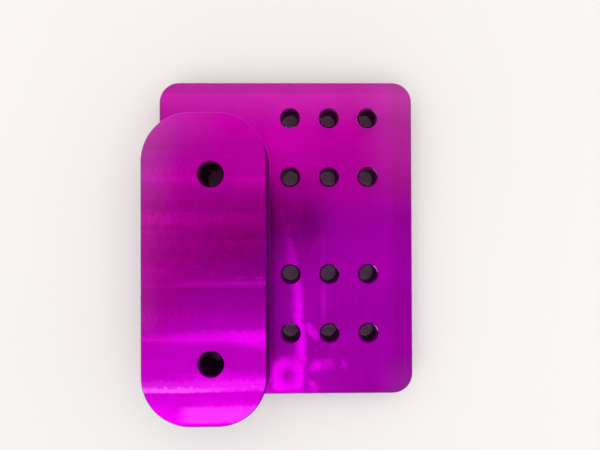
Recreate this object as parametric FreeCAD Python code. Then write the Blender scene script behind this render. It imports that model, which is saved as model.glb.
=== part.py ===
import FreeCAD, Part
import os

# A mounting block milled from one piece of aluminium: a rounded plate drilled on a grid,
# and along its left side a raised pad with rounded ends that reaches past the plate at the
# side and at the lower end. All sizes are in millimetres.
# X runs across the plate, Y along it towards the upper end, and Z up from the flat underside.
# The origin is on the underside, below the middle of the whole outline.

# Plate
plate_thickness = 10.0
plate_corner_radius = 7.5
upper_margin = 13.75          # from the first row of holes to the upper end
lower_margin = 23.25          # from the last row of holes to the lower end
side_margin = 17.0            # from the last column of holes to the right side

# Grid of screw holes in the plate: two pairs of rows
column_count = 3
column_pitch = 15.0
row_pitch = 22.75             # between the two rows of a pair
pair_gap = 37.5               # between the facing rows of the two pairs
plate_hole_diameter = 6.6     # clears an M6 screw
plate_hole_chamfer = 0.6

# Raised pad
pad_width = 45.75
pad_rise = 10.0               # above the face of the plate
pad_corner_radius = 18.0
pad_side_overhang = 4.0       # past the left side of the plate
pad_end_overhang = 8.25       # past the lower end of the plate
wall_to_grid = 8.5            # from the pad's wall to the first column of holes

# Screw holes through the pad
pad_hole_diameter = 9.0       # clears an M8 screw
pad_hole_chamfer = 0.4
pad_hole_offset = 2.5         # from the pad's centre line, towards the plate

# Radii left by the cutters, and the broken edges
inside_corner_radius = 3.0    # where the plate's outline meets the pad's
foot_radius = 0.8             # where the pad's wall meets the face of the plate
edge_break = 0.4

# The cutting solids reach past the faces they cut by this much
overrun = 1.0
# Points nearer than this are taken as one
tolerance = 0.001

# The grid, and the lengths that follow from it. The pad's upper end is level with the first row.
grid_width = (column_count - 1) * column_pitch
grid_length = 2 * row_pitch + pair_gap
plate_width = pad_width - pad_side_overhang + wall_to_grid + grid_width + side_margin
plate_length = upper_margin + grid_length + lower_margin
pad_length = grid_length + lower_margin + pad_end_overhang
block_height = plate_thickness + pad_rise

# Places of the edges
plate_right = (plate_width + pad_side_overhang) / 2
plate_left = plate_right - plate_width
plate_top = (plate_length + pad_end_overhang) / 2
plate_bottom = plate_top - plate_length
pad_left = plate_left - pad_side_overhang
pad_right = pad_left + pad_width
pad_bottom = plate_bottom - pad_end_overhang
pad_top = pad_bottom + pad_length

# Places of the holes
first_column = pad_right + wall_to_grid
first_row = plate_top - upper_margin
second_row = first_row - row_pitch
third_row = second_row - pair_gap
fourth_row = third_row - row_pitch
pad_hole_x = (pad_left + pad_right) / 2 + pad_hole_offset


def rounded_block(left, bottom, right, top, radius, height):
    # A slab on the underside plane with its four upright edges rounded
    corner = FreeCAD.Vector(left, bottom, 0)
    block = Part.makeBox(right - left, top - bottom, height, corner)
    upright_edges = [edge for edge in block.Edges if is_upright(edge)]
    return block.makeFillet(radius, upright_edges)


def is_upright(edge):
    ends = [vertex.Point for vertex in edge.Vertexes]
    if len(ends) < 2:
        return False
    rise = ends[1] - ends[0]
    return abs(rise.x) < tolerance and abs(rise.y) < tolerance


def edges_at(solid, level):
    # The edges that lie flat at one height
    flat_edges = []
    for edge in solid.Edges:
        box = edge.BoundBox
        if abs(box.ZMin - level) < tolerance and abs(box.ZMax - level) < tolerance:
            flat_edges.append(edge)
    return flat_edges


def is_on_skin(solid, point):
    return solid.Shells[0].distToShape(Part.Vertex(point))[0] < tolerance


def plate_slab(inset, height):
    return rounded_block(
        plate_left + inset,
        plate_bottom + inset,
        plate_right - inset,
        plate_top - inset,
        plate_corner_radius - inset,
        height,
    )


def pad_slab(inset, height):
    return rounded_block(
        pad_left + inset,
        pad_bottom + inset,
        pad_right - inset,
        pad_top - inset,
        pad_corner_radius - inset,
        height,
    )


def outline_slab(inset, height):
    # Plate and pad as one outline, with the cutter's radius in the two inside corners
    plate = plate_slab(inset, height)
    pad = pad_slab(inset, height)
    slab = plate.fuse(pad).removeSplitter()
    inside_corners = []
    for edge in slab.Edges:
        middle = edge.BoundBox.Center
        if is_upright(edge) and is_on_skin(plate, middle) and is_on_skin(pad, middle):
            inside_corners.append(edge)
    return slab.makeFillet(inside_corner_radius + inset, inside_corners)


def base():
    # The lower layer of the block, over the whole outline, with its edges broken
    slab = outline_slab(0, plate_thickness)
    rims = edges_at(slab, 0) + edges_at(slab, plate_thickness)
    return slab.makeChamfer(edge_break, rims)


def raised_pad():
    # The pad above the level where the plate's upper edge break starts
    full_pad = pad_slab(0, block_height)
    full_pad = full_pad.makeChamfer(edge_break, edges_at(full_pad, block_height))
    lower_part = pad_slab(-overrun, plate_thickness - edge_break)
    return full_pad.cut(lower_part)


def pad_foot():
    # The round at the foot of the pad's wall, kept inside the plate's edge break
    floor = plate_slab(-pad_width, plate_thickness)
    step = floor.fuse(pad_slab(0, block_height)).removeSplitter()
    foot_edges = []
    for edge in edges_at(step, plate_thickness):
        if is_on_skin(pad_slab(0, block_height), edge.CenterOfMass):
            foot_edges.append(edge)
    step = step.makeFillet(foot_radius, foot_edges)
    reach = outline_slab(edge_break, plate_thickness + foot_radius)
    return step.common(reach)


def screw_hole(x, y, depth, diameter, chamfer):
    # A through hole with the same countersunk edge at both ends, turned about its axis
    radius = diameter / 2
    flare = radius + chamfer + overrun
    profile = Part.makePolygon([
        FreeCAD.Vector(0, 0, -overrun),
        FreeCAD.Vector(flare, 0, -overrun),
        FreeCAD.Vector(radius, 0, chamfer),
        FreeCAD.Vector(radius, 0, depth - chamfer),
        FreeCAD.Vector(flare, 0, depth + overrun),
        FreeCAD.Vector(0, 0, depth + overrun),
        FreeCAD.Vector(0, 0, -overrun),
    ])
    hole = Part.Face(profile).revolve(FreeCAD.Vector(0, 0, 0), FreeCAD.Vector(0, 0, 1), 360)
    hole.translate(FreeCAD.Vector(x, y, 0))
    return hole


def plate_holes():
    holes = []
    for row in (first_row, second_row, third_row, fourth_row):
        for column in range(column_count):
            x = first_column + column * column_pitch
            holes.append(screw_hole(x, row, plate_thickness, plate_hole_diameter, plate_hole_chamfer))
    return holes


def pad_holes():
    # The upper hole is level with the second row, and the lower one is as far from its own end
    holes = []
    for y in (second_row, pad_bottom + pad_top - second_row):
        holes.append(screw_hole(pad_hole_x, y, block_height, pad_hole_diameter, pad_hole_chamfer))
    return holes


def mounting_block():
    solid = base().fuse([raised_pad(), pad_foot()]).removeSplitter()
    return solid.cut(plate_holes() + pad_holes())


os.makedirs("parts", exist_ok=True)
block = mounting_block()
block.exportStep("parts/mounting_block.step")
print("mounting_block", round(block.Volume), "cubic mm, valid:", block.isValid())
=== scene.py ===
import bpy
import math
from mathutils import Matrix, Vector


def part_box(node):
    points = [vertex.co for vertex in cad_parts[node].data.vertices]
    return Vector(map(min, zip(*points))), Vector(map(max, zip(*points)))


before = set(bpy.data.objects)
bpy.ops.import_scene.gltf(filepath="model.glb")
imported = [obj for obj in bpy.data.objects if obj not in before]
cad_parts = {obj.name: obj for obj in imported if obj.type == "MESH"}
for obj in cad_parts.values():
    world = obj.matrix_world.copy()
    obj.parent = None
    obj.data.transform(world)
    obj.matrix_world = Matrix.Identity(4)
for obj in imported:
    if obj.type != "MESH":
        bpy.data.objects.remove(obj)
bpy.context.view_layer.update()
blockLow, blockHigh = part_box("mounting_block")
mm = 0.001
print("frame loaded, block is %.1f by %.1f by %.1f mm" % tuple((blockHigh - blockLow) / mm))

# the holes' centres and radii, in mm from the middle of the block
gridColumns = (3.6, 18.6, 33.6)
gridRows = (50.4, 27.6, -9.9, -32.6)
padHoles = ((-25.25, 27.6), (-25.25, -41.4))
gridHoleRadius = 3.3
padHoleRadius = 4.5
columnPitch = 15.0
padRise = (14.0, 15.0)      # the finish changes from plate to pad between these heights
boreEdge = (0.2, 0.1)       # fades in mm from a hole's wall: of the bore's finish
sinkEdge = (0.72, 0.62)     # and of the countersink's
upperRight = (0.82, 0.57)   # the way that most countersinks shine


class Nodes:
    # short ways to add and join shader nodes; a number or a socket can stand in any input
    def __init__(self, tree):
        self.tree = tree

    def put(self, value, socket):
        if isinstance(value, bpy.types.NodeSocket):
            self.tree.links.new(value, socket)
        else:
            socket.default_value = value

    def math(self, operation, a, b=0.0):
        node = self.tree.nodes.new("ShaderNodeMath")
        node.operation = operation
        self.put(a, node.inputs[0])
        self.put(b, node.inputs[1])
        return node.outputs[0]

    def add(self, a, b):
        return self.math("ADD", a, b)

    def sub(self, a, b):
        return self.math("SUBTRACT", a, b)

    def mul(self, a, b):
        return self.math("MULTIPLY", a, b)

    def blend(self, amount, a, b):
        # a where amount is 0, b where it is 1, for numbers
        node = self.tree.nodes.new("ShaderNodeMix")
        node.data_type = "FLOAT"
        self.put(amount, node.inputs[0])
        self.put(a, node.inputs[2])
        self.put(b, node.inputs[3])
        return node.outputs[0]

    def soft(self, value, low, high):
        # 0 below low, 1 above high, smooth between; low may be the larger one
        node = self.tree.nodes.new("ShaderNodeMapRange")
        node.interpolation_type = "SMOOTHSTEP"
        self.put(value, node.inputs[0])
        if low < high:
            node.inputs[1].default_value = low
            node.inputs[2].default_value = high
        else:
            node.inputs[1].default_value = high
            node.inputs[2].default_value = low
            node.inputs[3].default_value = 1.0
            node.inputs[4].default_value = 0.0
        return node.outputs[0]

    def between(self, value, low, high, fade):
        # 1 between low and high, fading out over fade on each side
        return self.mul(self.soft(value, low - fade, low + fade), self.soft(value, high + fade, high - fade))

    def point(self, x, y, z=0.0):
        node = self.tree.nodes.new("ShaderNodeCombineXYZ")
        self.put(x, node.inputs[0])
        self.put(y, node.inputs[1])
        self.put(z, node.inputs[2])
        return node.outputs[0]

    def noise(self, place, detail=2.0, rough=0.5):
        # the place is already stretched, so the noise itself has scale 1
        node = self.tree.nodes.new("ShaderNodeTexNoise")
        self.put(place, node.inputs["Vector"])
        node.inputs["Scale"].default_value = 1.0
        node.inputs["Detail"].default_value = detail
        node.inputs["Roughness"].default_value = rough
        return node.outputs["Fac"]

    def steps(self, value, marks):
        # a line of (place, level) pairs, straight between them, as one colour ramp
        low, high = marks[0][0], marks[-1][0]
        place = self.tree.nodes.new("ShaderNodeMapRange")
        self.put(value, place.inputs[0])
        place.inputs[1].default_value = low
        place.inputs[2].default_value = high
        ramp = self.tree.nodes.new("ShaderNodeValToRGB")
        self.tree.links.new(place.outputs[0], ramp.inputs[0])
        stops = ramp.color_ramp.elements
        while len(stops) < len(marks):
            stops.new(0.5)
        for stop, (where, level) in zip(stops, marks):
            stop.position = (where - low) / (high - low)
            stop.color = (level, level, level, 1)
        return ramp.outputs[0]

    def patch(self, x, y, centreX, centreY, long, wide, turn):
        # a soft-edged oval, 1 in its middle
        c, s = math.cos(math.radians(turn)), math.sin(math.radians(turn))
        dx, dy = self.sub(x, centreX), self.sub(y, centreY)
        u = self.add(self.mul(dx, c / long), self.mul(dy, s / long))
        v = self.add(self.mul(dx, -s / wide), self.mul(dy, c / wide))
        return self.soft(self.add(self.mul(u, u), self.mul(v, v)), 1.5, 0.0)


def newMaterial(name):
    material = bpy.data.materials.new(name)
    material.use_nodes = True
    material.node_tree.nodes.clear()
    return material, Nodes(material.node_tree)


def plainMaterial(name, shaderType, colourSocket, colour):
    # one shader with one colour
    material, n = newMaterial(name)
    shader = n.tree.nodes.new(shaderType)
    output = n.tree.nodes.new("ShaderNodeOutputMaterial")
    n.tree.links.new(shader.outputs[0], output.inputs[0])
    shader.inputs[colourSocket].default_value = (*colour, 1)
    return material, shader


# magenta anodised aluminium, as milled; a level is how much red light the metal sends back
anodised = {
    "roughness": 0.27,
    "roughnessSpread": 0.12,
    "boreRoughness": 0.5,
    "wallLevel": 0.26,
    "boreLevel": 0.24,
    "chamferLevel": 0.15,
    "undersideLevel": 0.42,
    "shadedEdgeLevel": 0.16,       # painted shade on broken edges, apart from those that face up the plate, which get a painted highlight
    "litEdgeLevel": 0.62,     # that face up the plate
    "levelScale": 0.885,    # of every level, to suit the room's light
    "highestLevel": 0.93,
    "green": 0.0008,        # shares of the level
    "padBlue": 0.77,
    "padMoreBlue": 0.24,    # more of it towards the lower end
    "plateBlue": 0.76,
    "plateMoreBlue": 0.28,
    "streakGain": 0.26,     # how much each kind of mark varies the level
    "hairlineGain": 0.10,
    "padCloudGain": 0.22,
    "plateCloudGain": 0.20,
    "rippleGain": 0.5,
    "undersideGain": 0.5,
    "sparkleGain": 0.30,    # what these add to the level
    "toothGain": 0.09,
    "faintGain": 0.09,
    "ringHighlightGain": 0.50,
    "glintGain": 0.5,
    "endGlintGain": 0.8,
}

# the pad was cut in passes along x; marks are (y in mm, measured level), first of its left side; the levels
# carry each pass's painted highlight or shade
padLeftMarks = (
    (-64.2, 0.36), (-62.3, 0.66), (-58.0, 0.62), (-55.0, 0.50), (-51.5, 0.45), (-51.1, 0.80),
    (-50.2, 0.86), (-49.4, 0.50), (-46.0, 0.40), (-34.0, 0.39),
    (-33.0, 0.43), (-32.4, 0.60), (-31.8, 0.48),
    (-29.5, 0.34), (-27.0, 0.34), (-20.0, 0.32), (-13.4, 0.38),
    (-12.8, 0.52), (-12.2, 0.43), (-8.0, 0.51),
    (0.0, 0.60), (6.4, 0.73), (8.6, 0.64), (9.6, 0.82), (13.2, 0.80), (14.5, 0.62), (24.5, 0.60),
    (26.2, 0.72), (27.2, 0.59), (33.0, 0.50), (38.0, 0.44), (50.0, 0.52),
)
padRightMarks = (
    (-64.2, 0.34), (-62.4, 0.78), (-56.4, 0.76), (-55.4, 0.60), (-51.5, 0.55), (-51.1, 0.76),
    (-48.0, 0.82), (-46.0, 0.68), (-43.5, 0.48), (-37.0, 0.50),
    (-34.5, 0.60), (-32.8, 0.96), (-30.5, 0.90),
    (-28.4, 0.54), (-22.0, 0.42), (-13.6, 0.40), (-12.9, 0.52),
    (-12.1, 0.76), (-11.3, 0.50), (-8.0, 0.42),
    (0.0, 0.45), (3.2, 0.54), (3.9, 0.40), (9.0, 0.55), (12.0, 0.60), (14.5, 0.49), (21.0, 0.53),
    (25.8, 0.70), (27.4, 0.57), (32.0, 0.54), (38.0, 0.48), (50.0, 0.53),
)
# how ragged the passes are, how much they sparkle and how clear single teeth are, again by y
padRaggedness = (
    (-64.0, 0.05), (-56.5, 0.5), (-55.0, 0.1), (-51.9, 0.0),
    (-50.0, 1.0), (-44.0, 1.0), (-33.4, 0.1), (-31.5, 0.8),
    (-27.0, 1.0), (-20.0, 0.2), (9.0, 0.2), (10.5, 1.0), (15.0, 1.0), (18.0, 0.1), (50.0, 0.1),
)
padSparkle = (
    (-64.0, 0.1), (-52.0, 0.2), (-51.4, 1.0), (-46.0, 0.8),
    (-44.0, 0.15), (-28.0, 0.15), (-26.5, 0.45), (-22.0, 0.5),
    (-20.0, 0.1), (-9.0, 0.1), (-7.2, 0.5), (-5.0, 0.1),
    (8.0, 0.2), (9.5, 0.9), (13.0, 0.8), (15.0, 0.1),
    (50.0, 0.1),
)
padTeeth = (
    (-64.0, 0.0), (-27.0, 0.0), (-25.0, 0.7), (-22.0, 0.5),
    (-20.0, 0.0), (-9.0, 0.0), (-7.2, 0.5), (-6.0, 0.0),
    (1.0, 0.0), (3.0, 0.6), (6.0, 0.2), (9.0, 0.6), (11.5, 1.0), (13.8, 0.5), (15.0, 0.0), (26.0, 0.0),
    (28.5, 0.8), (31.0, 0.5), (33.0, 0.0), (50.0, 0.0),
)
# small painted glints and broader lighter or darker patches: centre, half length, half width, turn in
# degrees, gain
padPatches = (
    ((-7.8, -10.2), 0.9, 0.35, 0.0, 0.34),
    ((-14.6, -10.1), 2.0, 0.35, 2.0, 0.16),
    ((-5.6, -12.4), 0.6, 0.4, 0.0, 0.24),
    ((-45.5, -7.2), 5.0, 0.4, 0.0, 0.12),
    ((-46.0, 6.4), 4.0, 0.3, 0.0, 0.07),
    ((-22.0, -4.8), 7.0, 0.35, 0.0, 0.04),
    ((-50.2, 27.4), 0.6, 0.5, 0.0, 0.34),
    ((-5.3, -34.3), 0.4, 0.9, 0.0, 0.45),
    ((-24.0, -44.5), 7.0, 2.0, 5.0, 0.12),
    ((-8.5, -34.5), 4.0, 1.6, -20.0, 0.14),
    ((-38.0, -57.8), 6.0, 1.6, 20.0, -0.08),
)


def padFinish(n, x, y):
    # returns level, blueness, painted sheen and height of the pad's face
    wander = n.sub(n.noise(n.point(n.mul(x, 0.05), n.mul(y, 0.03), 2.0), 1.0), 0.5)
    ragged = n.sub(n.noise(n.point(n.mul(x, 0.55), n.mul(y, 0.35), 5.0), 4.0, 0.75), 0.5)
    lines = n.add(n.add(y, n.mul(wander, 0.7)), n.mul(n.add(x, 28.0), -0.008))
    # a pass ends crisply on its lower side and fades raggedly on its upper side
    raggedness = n.steps(y, padRaggedness)
    place = n.add(lines, n.mul(n.mul(ragged, raggedness), 6.0))
    left = n.steps(place, padLeftMarks)
    right = n.steps(place, padRightMarks)
    side = n.soft(n.add(x, n.mul(wander, 8.0)), -52.0, -4.0)
    level = n.blend(side, left, right)

    streaks = n.sub(n.noise(n.point(n.mul(x, 0.03), n.mul(y, 1.1), 3.0), 4.0, 0.7), 0.5)
    hairlines = n.sub(n.noise(n.point(n.mul(x, 0.05), n.mul(y, 4.5), 7.0), 2.0, 0.7), 0.5)
    clouds = n.sub(n.noise(n.point(n.mul(x, 0.16), n.mul(y, 0.30), 13.0), 4.0, 0.65), 0.5)
    level = n.mul(level, n.add(1.0, n.mul(streaks, anodised["streakGain"])))
    level = n.mul(level, n.add(1.0, n.mul(hairlines, anodised["hairlineGain"])))
    level = n.mul(level, n.add(1.0, n.mul(clouds, anodised["padCloudGain"])))

    # painted glints on crests that the cutter's teeth left, thickest in a few passes
    crests = n.noise(n.point(n.mul(x, 1.7), n.mul(y, 2.6), 11.0), 2.0, 0.8)
    sparkle = n.steps(y, padSparkle)
    sparkle = n.mul(sparkle, n.soft(x, 6.0, -34.0))
    level = n.add(level, n.mul(n.mul(n.soft(crests, 0.56, 0.72), sparkle), anodised["sparkleGain"]))
    # curved marks of single teeth, clearest where the passes start on the left
    bow = n.math("POWER", n.sub(n.math("MODULO", n.add(y, 100.0), 5.0), 2.5), 2.0)
    tooth = n.add(n.add(n.mul(x, 2.6), n.mul(bow, -0.35)), n.mul(clouds, 9.0))
    teeth = n.soft(n.math("SINE", tooth), 0.1, 0.9)
    toothed = n.steps(y, padTeeth)
    toothed = n.mul(toothed, n.soft(x, -14.0, -46.0))
    level = n.add(level, n.mul(n.mul(teeth, toothed), anodised["toothGain"]))
    for (px, py), long, wide, turn, gain in padPatches:
        level = n.add(level, n.mul(n.patch(x, y, px, py, long, wide, turn), gain))

    turned = n.add(n.add(y, n.mul(n.add(x, 10.0), -0.85)), n.mul(clouds, 30.0))
    blue = n.add(anodised["padBlue"], n.mul(n.soft(turned, 14.0, -14.0), anodised["padMoreBlue"]))
    blue = n.add(blue, n.mul(n.mul(n.between(y, -12.0, 22.0, 6.0), n.soft(x, -46.0, -36.0)), 0.06))
    # painted sheen: white added near the left and upper edges and along a few passes, with flecks of painted
    # glint
    paintedSheen = n.mul(n.mul(n.soft(x, -34.0, -50.0), n.soft(y, -20.0, 44.0)), 0.026)
    paintedSheen = n.add(paintedSheen, n.mul(n.mul(n.soft(x, -16.0, -40.0), n.soft(y, 28.0, 50.0)), 0.012))
    paintedSheen = n.add(paintedSheen, n.mul(n.mul(n.soft(x, -12.0, -40.0), n.between(place, -51.3, -49.9, 0.4)), 0.055))
    paintedSheen = n.add(paintedSheen, n.mul(n.mul(n.soft(x, -38.0, -32.0), n.between(place, -62.4, -56.8, 0.6)), 0.022))
    glintFlecks = n.add(0.006, n.mul(n.soft(ragged, 0.0, 0.2), 0.016))
    paintedSheen = n.add(paintedSheen, n.mul(n.between(place, -51.0, -47.5, 0.8), glintFlecks))
    paintedSheen = n.add(paintedSheen, n.mul(n.mul(n.soft(x, -42.0, -50.0), n.soft(y, -34.0, -24.0)), 0.007))
    height = n.add(n.mul(streaks, 0.010), n.mul(hairlines, 0.004))
    height = n.add(height, n.mul(crests, n.mul(sparkle, 0.006)))
    return level, blue, paintedSheen, height


# the plate was cut across at its upper end and lengthwise below; marks as for the pad, with each pass's
# painted highlight or shade
plateLeftMarks = (
    (-56.2, 0.50), (-50.0, 0.46), (-42.0, 0.41), (-30.0, 0.41),
    (-20.0, 0.46), (-10.0, 0.47), (-3.0, 0.44),
    (2.0, 0.40), (6.0, 0.33), (12.0, 0.32), (18.0, 0.36), (24.0, 0.42), (32.0, 0.51), (44.0, 0.50),
    (52.0, 0.45), (58.0, 0.48), (59.6, 0.51), (60.1, 0.40), (64.2, 0.38),
)
plateRightMarks = (
    (-56.2, 0.36), (-52.0, 0.42), (-40.0, 0.43), (-34.0, 0.46),
    (-26.0, 0.41), (-18.0, 0.43), (-10.0, 0.46),
    (0.0, 0.42), (12.0, 0.39), (20.0, 0.42), (34.0, 0.45), (44.0, 0.41), (50.0, 0.38), (58.0, 0.43),
    (59.6, 0.46), (60.1, 0.39), (64.2, 0.35),
)
# two painted highlight stripes along the plate, by y, and the shade beside the pad, by x
stripeMarks = (
    (-56.0, 0.10), (-45.0, 0.22), (-43.5, 0.40), (-41.0, 0.52),
    (-30.0, 0.58), (-24.0, 0.56), (-18.0, 0.50), (-10.0, 0.42),
    (-4.0, 0.36), (0.0, 0.26), (5.0, 0.10), (12.0, 0.04), (16.0, 0.0),
)
secondMarks = (
    (-30.0, 0.0), (-24.0, 0.18), (-20.0, 0.27), (-14.0, 0.08), (0.0, 0.06), (4.0, 0.10), (9.0, 0.0),
)
lowerShadeMarks = (
    (-5.0, 0.46), (-3.4, 0.48), (-2.0, 0.67), (0.0, 0.76), (3.5, 0.90), (6.0, 1.0),
)
upperShadeMarks = (
    (-5.0, 0.58), (-3.4, 0.64), (-2.0, 0.92), (0.0, 1.00), (3.5, 1.05), (6.0, 1.05),
)
# painted highlights where the cutter dwelt, then wide faint lighter or darker patches: centre, half length,
# half width, turn in degrees, gain
platePatches = (
    ((11.9, -31.9), 4.2, 1.8, -55.0, 0.44),
    ((12.8, -45.4), 3.0, 2.1, 60.0, 0.34),
    ((16.8, -44.4), 4.2, 2.4, 10.0, 0.24),
    ((12.2, -52.6), 3.2, 1.4, -58.0, 0.34),
    ((24.2, -44.5), 2.8, 1.0, -65.0, 0.20),
    ((22.7, -45.8), 0.6, 0.5, 0.0, 0.26),
    ((20.2, -37.4), 2.0, 0.9, 10.0, 0.10),
    ((29.0, -21.0), 1.4, 0.8, -40.0, 0.06),
    ((11.3, 10.0), 8.0, 3.8, 90.0, -0.055),
    ((25.0, 47.0), 6.0, 5.0, 90.0, 0.05),
    ((24.0, 22.0), 7.0, 8.0, 90.0, 0.035),
    ((2.0, 44.0), 12.0, 7.0, 90.0, 0.05),
)


def plateFinish(n, x, y):
    wander = n.sub(n.noise(n.point(n.mul(x, 0.06), n.mul(y, 0.05), 4.0), 1.0), 0.5)
    place = n.add(y, n.mul(wander, 1.0))
    level = n.blend(n.soft(n.add(x, n.mul(wander, 10.0)), 8.0, 30.0),
                    n.steps(place, plateLeftMarks), n.steps(place, plateRightMarks))

    across = n.sub(n.noise(n.point(n.mul(x, 0.025), n.mul(y, 0.9), 8.0), 4.0, 0.65), 0.5)
    along = n.sub(n.noise(n.point(n.mul(x, 0.75), n.mul(y, 0.025), 9.0), 4.0, 0.65), 0.5)
    lengthwise = n.soft(n.add(y, n.mul(wander, 8.0)), 29.0, 20.0)
    rim = n.math("MAXIMUM", n.soft(y, 59.9, 60.3), n.soft(y, -52.0, -52.5))
    lengthwise = n.mul(lengthwise, n.sub(1.0, rim))
    streaks = n.blend(lengthwise, across, along)
    clouds = n.sub(n.noise(n.point(n.mul(x, 0.12), n.mul(y, 0.10), 15.0), 4.0, 0.6), 0.5)
    level = n.mul(level, n.add(1.0, n.mul(streaks, anodised["streakGain"])))
    level = n.mul(level, n.add(1.0, n.mul(clouds, anodised["plateCloudGain"])))

    # painted highlight: a long bright stripe where one lengthwise pass ends, with a crisp right edge
    edge = n.sub(9.1, n.mul(n.math("POWER", n.add(y, 44.0), 2.0), 0.0021))
    inside = n.add(n.sub(x, edge), n.mul(clouds, 4.0))
    stripe = n.mul(n.soft(inside, -5.0, -1.2), n.soft(inside, 1.3, -0.9))
    stripeGain = n.steps(y, stripeMarks)
    level = n.add(level, n.mul(stripe, stripeGain))
    # a second, weaker painted highlight stripe
    second = n.mul(n.between(x, 15.7, 17.2, 1.1), n.steps(y, secondMarks))
    level = n.add(level, second)
    faint = n.mul(n.between(x, 38.6, 39.0, 0.25), n.between(y, -52.0, -40.0, 2.0))
    faint = n.add(faint, n.mul(n.between(x, 47.6, 48.2, 0.3), n.between(y, -50.0, -20.0, 5.0)))
    level = n.add(level, n.mul(faint, anodised["faintGain"]))

    # a painted highlight: a bright ring beside the pad's lower end, where the cutter plunged
    rough = n.sub(n.noise(n.point(n.mul(x, 0.35), n.mul(y, 0.35), 6.0), 4.0, 0.65), 0.5)
    drift = n.sub(n.noise(n.point(n.mul(x, 0.35), n.mul(y, 0.35), 16.0), 4.0, 0.65), 0.5)
    wx = n.add(x, n.mul(rough, 2.6))
    wy = n.add(y, n.mul(drift, 2.6))
    ring = n.math("SQRT", n.add(n.math("POWER", n.sub(wx, 2.2), 2.0),
                                n.math("POWER", n.mul(n.add(wy, 48.9), 0.92), 2.0)))
    ringHighlightMask = n.mul(n.mul(n.soft(ring, 0.2, 4.6), n.soft(ring, 8.2, 5.2)), n.soft(x, 9.2, 8.0))
    ringHighlightMask = n.mul(ringHighlightMask, n.soft(wy, -56.5, -53.0))
    ringHighlightMask = n.mul(ringHighlightMask, n.add(0.72, n.mul(n.soft(wx, 5.0, 0.0), 0.28)))
    ringHighlightMask = n.mul(ringHighlightMask, n.soft(x, -5.2, -2.0))
    level = n.add(level, n.mul(ringHighlightMask, n.add(anodised["ringHighlightGain"], n.mul(drift, 0.7))))

    for (px, py), long, wide, turn, gain in platePatches:
        level = n.add(level, n.mul(n.patch(wx, wy, px, py, long, wide, turn), gain))
    # the pad's wall shades the strip beside it, more so at the lower end
    lowerShade = n.steps(x, lowerShadeMarks)
    upperShade = n.steps(x, upperShadeMarks)
    shade = n.blend(n.soft(y, -8.0, -18.0), upperShade, lowerShade)
    level = n.mul(level, n.blend(n.between(y, -43.0, 25.0, 6.0), 1.0, shade))
    level = n.mul(level, n.sub(1.0, n.mul(n.soft(x, 40.0, 45.5), 0.13)))

    lowerEnd = n.soft(n.add(y, n.mul(wander, 6.0)), 30.0, 4.0)
    blue = n.add(anodised["plateBlue"], n.mul(lowerEnd, anodised["plateMoreBlue"]))
    blue = n.add(blue, n.mul(n.mul(n.soft(x, 22.0, 4.0), n.between(y, -32.0, 6.0, 6.0)), 0.07))
    # painted sheen: white added near the upper end, along the right side and at the lower right corner
    paintedSheen = n.mul(n.soft(y, 44.0, 64.0), 0.016)
    paintedSheen = n.add(paintedSheen, n.mul(n.mul(n.soft(x, 26.0, 50.0), n.soft(y, 6.0, 50.0)), 0.017))
    paintedSheen = n.add(paintedSheen, n.mul(n.mul(n.soft(x, 34.0, 50.0), n.soft(y, -38.0, -56.0)), 0.016))
    height = n.mul(streaks, 0.012)
    return level, blue, paintedSheen, height


def nearestHole(n, x, y):
    # returns the distance from the nearest hole's wall, the cosine towards its upper right, whether it
    # is on the pad, its column, its centre's y, and the cosine towards its upper side
    onPad = n.math("LESS_THAN", x, (padHoles[0][0] + gridColumns[0]) / 2)
    column = n.math("ROUND", n.mul(n.sub(x, gridColumns[0]), 1 / columnPitch))
    column = n.math("MINIMUM", n.math("MAXIMUM", column, 0.0), len(gridColumns) - 1)
    centreX = n.blend(onPad, n.add(n.mul(column, columnPitch), gridColumns[0]), padHoles[0][0])
    centreY = gridRows[3]
    for lower, upper in zip(gridRows[:0:-1], gridRows[2::-1]):
        centreY = n.add(n.mul(n.math("GREATER_THAN", y, (lower + upper) / 2), upper - lower), centreY)
    upperY, lowerY = padHoles[0][1], padHoles[1][1]
    padY = n.add(n.mul(n.math("GREATER_THAN", y, (lowerY + upperY) / 2), upperY - lowerY), lowerY)
    centreY = n.blend(onPad, centreY, padY)
    dx = n.sub(x, centreX)
    dy = n.sub(y, centreY)
    reach = n.math("SQRT", n.add(n.mul(dx, dx), n.mul(dy, dy)))
    out = n.sub(reach, n.blend(onPad, gridHoleRadius, padHoleRadius))
    facing = n.math("DIVIDE", n.add(n.mul(dx, upperRight[0]), n.mul(dy, upperRight[1])), reach)
    return out, facing, onPad, column, centreY, n.math("DIVIDE", dy, reach)


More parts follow.
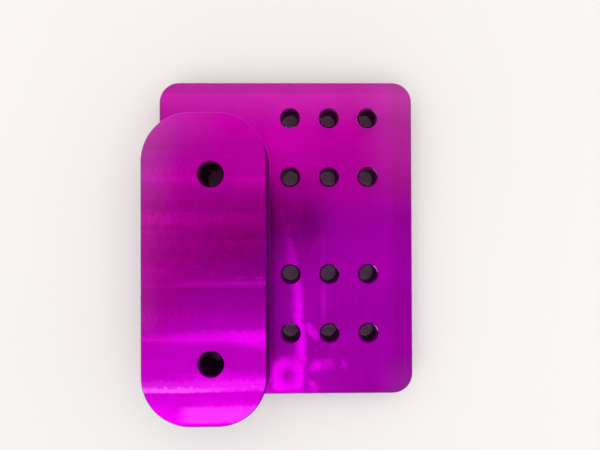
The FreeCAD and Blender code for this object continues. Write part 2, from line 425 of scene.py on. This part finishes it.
def anodisedMaterial(name="anodisedMilled"):
    material, n = newMaterial(name)
    tree = material.node_tree
    coords = tree.nodes.new("ShaderNodeTexCoord")
    parts = tree.nodes.new("ShaderNodeSeparateXYZ")
    tree.links.new(coords.outputs["Object"], parts.inputs[0])
    x, y, z = (n.mul(parts.outputs[i], 1 / mm) for i in range(3))
    geometry = tree.nodes.new("ShaderNodeNewGeometry")
    turnTo = tree.nodes.new("ShaderNodeSeparateXYZ")
    tree.links.new(geometry.outputs["Normal"], turnTo.inputs[0])
    ny, nz = turnTo.outputs[1], turnTo.outputs[2]

    padLevel, padBlue, padPaintedSheen, padHeight = padFinish(n, x, y)
    plateLevel, plateBlue, platePaintedSheen, plateHeight = plateFinish(n, x, y)
    onTop = n.soft(z, *padRise)
    level = n.blend(onTop, plateLevel, padLevel)
    blue = n.blend(onTop, plateBlue, padBlue)
    paintedSheen = n.blend(onTop, platePaintedSheen, padPaintedSheen)
    height = n.blend(onTop, plateHeight, padHeight)

    # walls: fine upright ripples from the side of the cutter, on a level painted dark as shade
    wall = n.soft(n.math("ABSOLUTE", nz), 0.55, 0.25)
    ripple = n.sub(n.noise(n.point(n.mul(x, 1.3), n.mul(y, 1.3), n.mul(z, 0.06)), 3.0, 0.7), 0.5)
    wallLevel = n.mul(n.add(1.0, n.mul(ripple, anodised["rippleGain"])), anodised["wallLevel"])
    level = n.blend(wall, level, wallLevel)
    height = n.blend(wall, height, n.mul(ripple, 0.012))
    paintedSheen = n.blend(wall, paintedSheen, 0.001)

    # broken edges: painted highlight where they face up the plate, painted shade everywhere else
    edgeFace = n.mul(n.soft(nz, 0.35, 0.55), n.soft(nz, 0.93, 0.85))
    edgeLevel = n.blend(n.soft(ny, 0.02, 0.35), anodised["shadedEdgeLevel"], anodised["litEdgeLevel"])
    level = n.blend(edgeFace, level, edgeLevel)

    # holes: bore walls painted dark as shade, and countersinks painted dark as a reflection, with a painted
    # highlight on their upper right side
    out, facing, onPad, column, holeY, upward = nearestHole(n, x, y)
    nearHole = n.soft(out, *sinkEdge)
    inBore = n.mul(n.soft(out, *boreEdge), n.soft(nz, 0.5, 0.3))
    sink = n.mul(nearHole, edgeFace)
    glint = n.mul(n.soft(facing, 0.88, 0.98), n.mul(n.add(0.25, n.mul(column, 0.5)), n.sub(1.0, onPad)))
    glint = n.mul(glint, n.mul(n.soft(out, 0.22, 0.42), n.add(0.25, n.mul(n.soft(holeY, 0.0, -5.0), 0.75))))
    # the first column's end holes shine on the side towards the plate's middle
    firstColumn = n.math("LESS_THAN", n.add(column, onPad), 0.5)
    topGlint = n.mul(n.soft(upward, -0.80, -0.93), n.mul(n.soft(holeY, 45.0, 46.0), firstColumn))
    lowGlint = n.mul(n.soft(upward, 0.80, 0.93), n.mul(n.soft(holeY, -30.0, -31.0), firstColumn))
    endGlint = n.add(topGlint, lowGlint)
    sinkLevel = n.add(anodised["chamferLevel"], n.mul(glint, anodised["glintGain"]))
    sinkLevel = n.add(sinkLevel, n.mul(endGlint, anodised["endGlintGain"]))
    level = n.blend(sink, level, sinkLevel)
    paintedSheen = n.add(paintedSheen, n.mul(sink, n.add(n.mul(endGlint, 0.6), n.mul(glint, 0.34))))
    level = n.blend(inBore, level, anodised["boreLevel"])
    paintedSheen = n.blend(inBore, paintedSheen, 0.002)

    # underside: plain passes across
    under = n.soft(nz, -0.8, -0.95)
    underStreaks = n.sub(n.noise(n.point(n.mul(x, 0.02), n.mul(y, 0.5), 21.0), 5.0, 0.7), 0.5)
    underLevel = n.add(1.0, n.mul(underStreaks, anodised["undersideGain"]))
    level = n.blend(under, level, n.mul(underLevel, anodised["undersideLevel"]))
    height = n.blend(under, height, n.mul(underStreaks, 0.012))
    paintedSheen = n.blend(under, paintedSheen, 0.003)

    shader = tree.nodes.new("ShaderNodeBsdfPrincipled")
    output = tree.nodes.new("ShaderNodeOutputMaterial")
    tree.links.new(shader.outputs[0], output.inputs[0])
    level = n.math("MINIMUM", n.mul(level, anodised["levelScale"]), anodised["highestLevel"])
    # the painted sheen is added to red, green and blue alike, as white
    red = n.add(level, paintedSheen)
    green = n.add(n.mul(level, anodised["green"]), paintedSheen)
    blueOut = n.add(n.mul(level, blue), paintedSheen)
    n.put(n.point(red, green, blueOut), shader.inputs["Base Color"])
    shader.inputs["Metallic"].default_value = 1.0
    dull = n.noise(n.point(n.mul(x, 0.3), n.mul(y, 0.3), n.mul(z, 0.3)), 3.0, 0.6)
    roughness = n.add(anodised["roughness"], n.mul(n.sub(dull, 0.5), anodised["roughnessSpread"]))
    roughness = n.blend(inBore, roughness, anodised["boreRoughness"])
    n.put(roughness, shader.inputs["Roughness"])
    bump = tree.nodes.new("ShaderNodeBump")
    bump.inputs["Strength"].default_value = 1.0
    bump.inputs["Distance"].default_value = mm
    n.put(height, bump.inputs["Height"])
    tree.links.new(bump.outputs[0], shader.inputs["Normal"])
    return material


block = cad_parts["mounting_block"]
block.material_slots[0].material = anodisedMaterial()
print("block finish made")


# a pale table just under the block; size in m, drop in mm
table = {"size": 3.0, "drop": 0.1, "colour": (0.94, 0.932, 0.912), "roughness": 0.5}


def makeTable():
    half = table["size"] / 2
    z = -table["drop"] * mm     # just clear of the underside, so the two faces don't share a plane
    mesh = bpy.data.meshes.new("table")
    corners = [(-half, -half, z), (half, -half, z), (half, half, z), (-half, half, z)]
    mesh.from_pydata(corners, [], [(0, 1, 2, 3)])
    top = bpy.data.objects.new("table", mesh)
    bpy.context.scene.collection.objects.link(top)
    material, shader = plainMaterial("tablePaint", "ShaderNodeBsdfPrincipled", "Base Color", table["colour"])
    shader.inputs["Roughness"].default_value = table["roughness"]
    mesh.materials.append(material)


makeTable()
print("table made")


# an even room, a soft lamp over the lower left, a warm one over the upper end, and a dark card
room = {"colour": (0.86, 0.855, 0.865)}
lamps = (
    # name, place in m, aimed at, width, height, radiance, colour
    ("windowLamp", (-0.60, -0.78, 1.45), (0, 0, 0), 1.25, 0.95, 0.96, (1.0, 0.99, 1.0)),
    ("warmLamp", (0.10, 0.75, 1.40), (0, 0, 0), 1.9, 0.9, 0.70, (1.0, 0.78, 0.68)),
)
# a card close above the camera, mirrored by the metal as its dark middle zone; in m
card = {"low": (-0.125, -0.033), "high": (0.022, 0.035), "height": 0.187, "colour": (0.42, 0.33, 0.30)}
# small shades over the holes keep the table seen through them dim; heights and radii in mm
shades = {
    "height": 14.0,
    "radius": 4.6,
    "padHeight": 26.0,
    "padRadius": 9.0,
    "sides": 24,
    "colour": (0.10, 0.07, 0.07),
}


def makeRoom():
    world = bpy.data.worlds.new("evenRoom")
    world.use_nodes = True
    world.node_tree.nodes["Background"].inputs["Color"].default_value = (*room["colour"], 1)
    bpy.context.scene.world = world


def makeLamp(name, place, target, width, height, radiance, colour):
    data = bpy.data.lights.new(name, "AREA")
    data.shape = "RECTANGLE"
    data.size = width
    data.size_y = height
    data.color = colour
    data.energy = radiance * math.pi * width * height
    lamp = bpy.data.objects.new(name, data)
    lamp.location = place
    lamp.rotation_euler = (Vector(target) - Vector(place)).to_track_quat("-Z", "Y").to_euler()
    bpy.context.scene.collection.objects.link(lamp)


def makeScreen(name, corners, faces, colour):
    mesh = bpy.data.meshes.new(name)
    mesh.from_pydata(corners, [], faces)
    item = bpy.data.objects.new(name, mesh)
    bpy.context.scene.collection.objects.link(item)
    item.visible_camera = False
    mesh.materials.append(plainMaterial(name + "Paint", "ShaderNodeBsdfDiffuse", "Color", colour)[0])
    return item


def makeCard():
    (left, near), (right, far) = card["low"], card["high"]
    h = card["height"]
    corners = [(left, near, h), (right, near, h), (right, far, h), (left, far, h)]
    makeScreen("overheadCard", corners, [(0, 3, 2, 1)], card["colour"])


def makeShades():
    discs = [(x, y, shades["height"], shades["radius"]) for x in gridColumns for y in gridRows]
    discs += [(x, y, shades["padHeight"], shades["padRadius"]) for x, y in padHoles]
    corners, faces = [], []
    for x, y, z, radius in discs:
        faces.append(tuple(range(len(corners), len(corners) + shades["sides"])))
        for i in range(shades["sides"]):
            turn = 2 * math.pi * i / shades["sides"]
            corners.append(((x + radius * math.cos(turn)) * mm, (y + radius * math.sin(turn)) * mm, z * mm))
    item = makeScreen("holeShades", corners, faces, shades["colour"])
    item.visible_glossy = False     # the metal doesn't mirror them


makeRoom()
for lamp in lamps:
    makeLamp(*lamp)
makeCard()
makeShades()
print("light made")


# almost straight above the block: place and lens in mm, turn in degrees
cameraSetup = {"place": (5.30, 7.96, 184.02), "lens": 27.06, "turn": (-0.379, 0.683, 0.205)}


def makeCamera():
    data = bpy.data.cameras.new("overheadCamera")
    data.lens = cameraSetup["lens"]
    camera = bpy.data.objects.new("overheadCamera", data)
    camera.location = Vector(cameraSetup["place"]) * mm
    camera.rotation_euler = [math.radians(-a) for a in cameraSetup["turn"]]
    bpy.context.scene.collection.objects.link(camera)
    bpy.context.scene.camera = camera


makeCamera()
bpy.context.scene.view_settings.view_transform = "Standard"
print("camera made")
